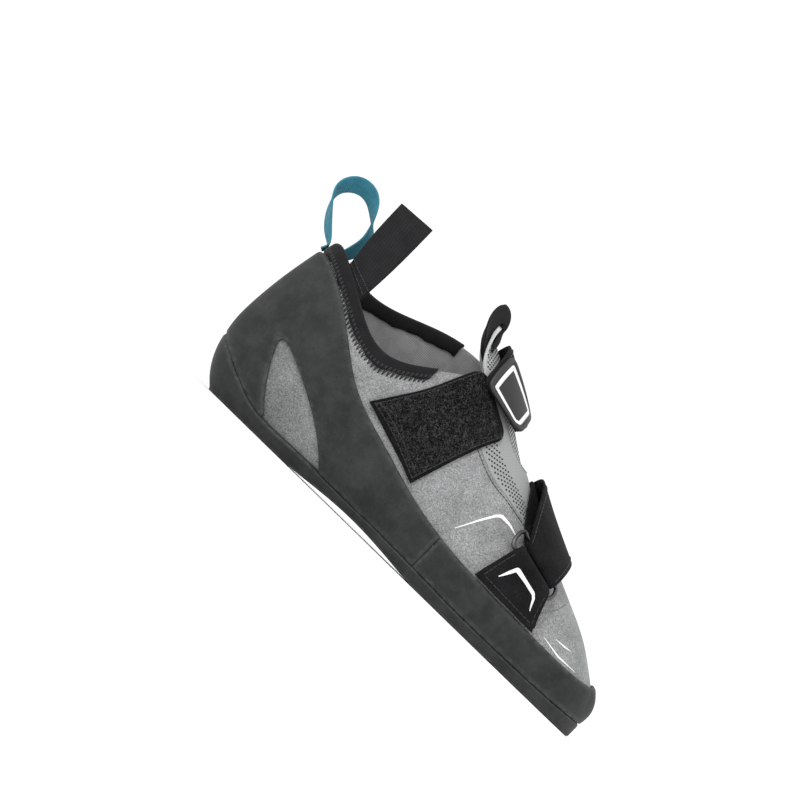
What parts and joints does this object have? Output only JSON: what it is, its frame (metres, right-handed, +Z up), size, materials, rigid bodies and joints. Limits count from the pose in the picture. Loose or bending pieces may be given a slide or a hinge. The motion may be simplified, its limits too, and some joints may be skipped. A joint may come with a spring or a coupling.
{
  "type": "climbing shoe",
  "caption": "Right climbing shoe, low cut, with wrap-around rubber rands, grey upper, padded tongue and hook-and-loop straps over instep and forefoot; stands empty on its sole.",
  "frame": {"origin": "on the floor under the middle of the shoe's bounding box", "axes": "+X towards the toe, +Y towards the inner side, +Z up"},
  "size_m": [0.2648, 0.0912, 0.1287],
  "materials": {
    "rubber": "matte moulded rubber",
    "board": "fabric-faced board",
    "suede": "fine-napped microsuede",
    "knit": "stretch knit",
    "black_cloth": "woven and brushed nylon",
    "moulded": "moulded soft plastic",
    "steel": "blackened bent wire",
    "teal_ribbon": "woven ribbon"
  },
  "bodies": {
    "root": {"outsole": "rubber", "heel_rand": "rubber", "toe_rand": "rubber", "insole": "board", "upper": "suede", "tongue": "knit", "tongue_tab": "black_cloth", "collar_binding": "black_cloth", "instep_loop_panel": "black_cloth", "instep_strap": "black_cloth", "instep_strap_badge": "moulded", "forefoot_strap_base": "black_cloth", "forefoot_strap": "black_cloth", "forefoot_ring": "steel", "heel_pull_loop": "teal_ribbon", "heel_pull_tab": "black_cloth"}
  },
  "joints": []
}
